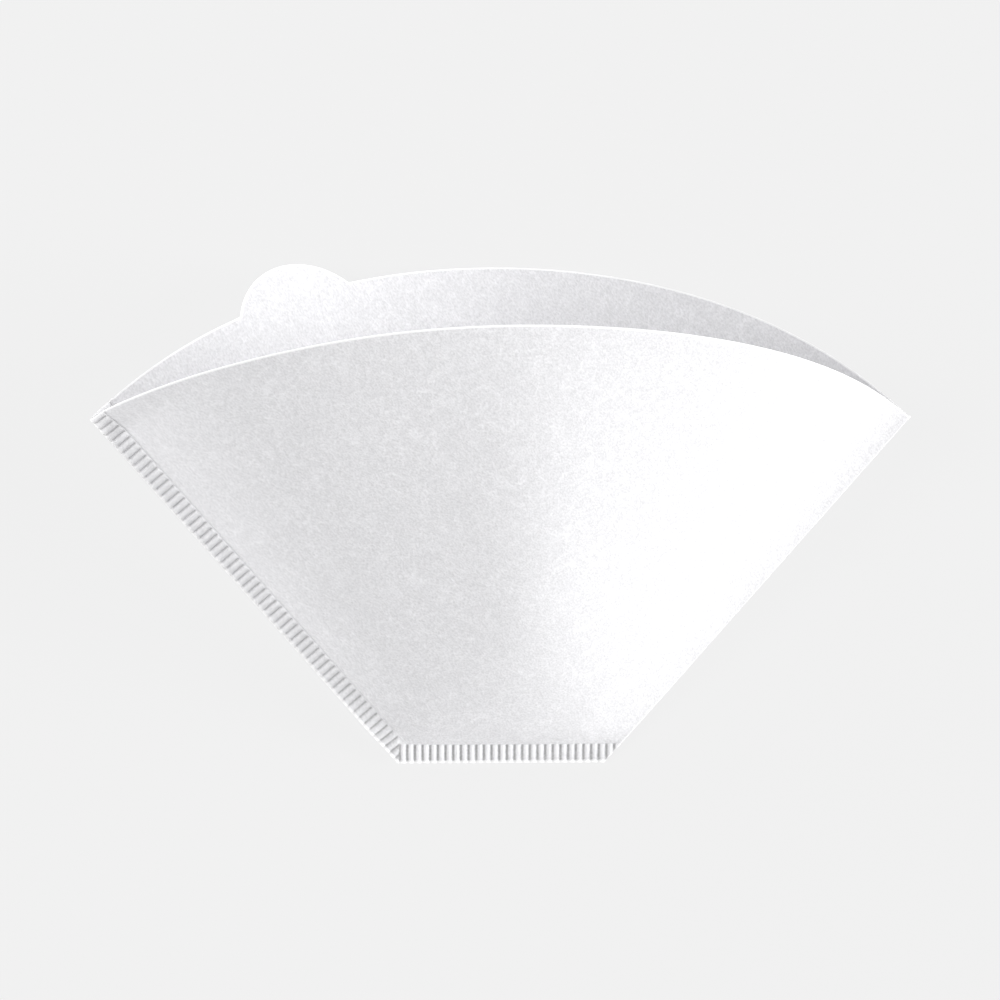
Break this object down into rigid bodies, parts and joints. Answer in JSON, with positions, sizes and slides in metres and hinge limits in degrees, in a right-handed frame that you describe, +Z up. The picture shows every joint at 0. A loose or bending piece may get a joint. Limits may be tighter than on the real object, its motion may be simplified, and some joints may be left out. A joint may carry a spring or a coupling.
{
  "type": "paper coffee filter",
  "caption": "Cone-shaped filter paper pouch with a wide open mouth, ribbed crimps along one side and the straight bottom, a folded side and a round pull tab.",
  "frame": {"origin": "middle of the floor area it covers as it lies on its back wall, at floor height", "axes": "+X from the crimped side to the folded side, +Y from the bottom crimp to the mouth, +Z up"},
  "size_m": [0.1672, 0.1072, 0.0752],
  "materials": {
    "paper": "matt, lightly embossed bleached filter paper"
  },
  "bodies": {
    "root": {"filter_paper": "paper"}
  },
  "joints": []
}
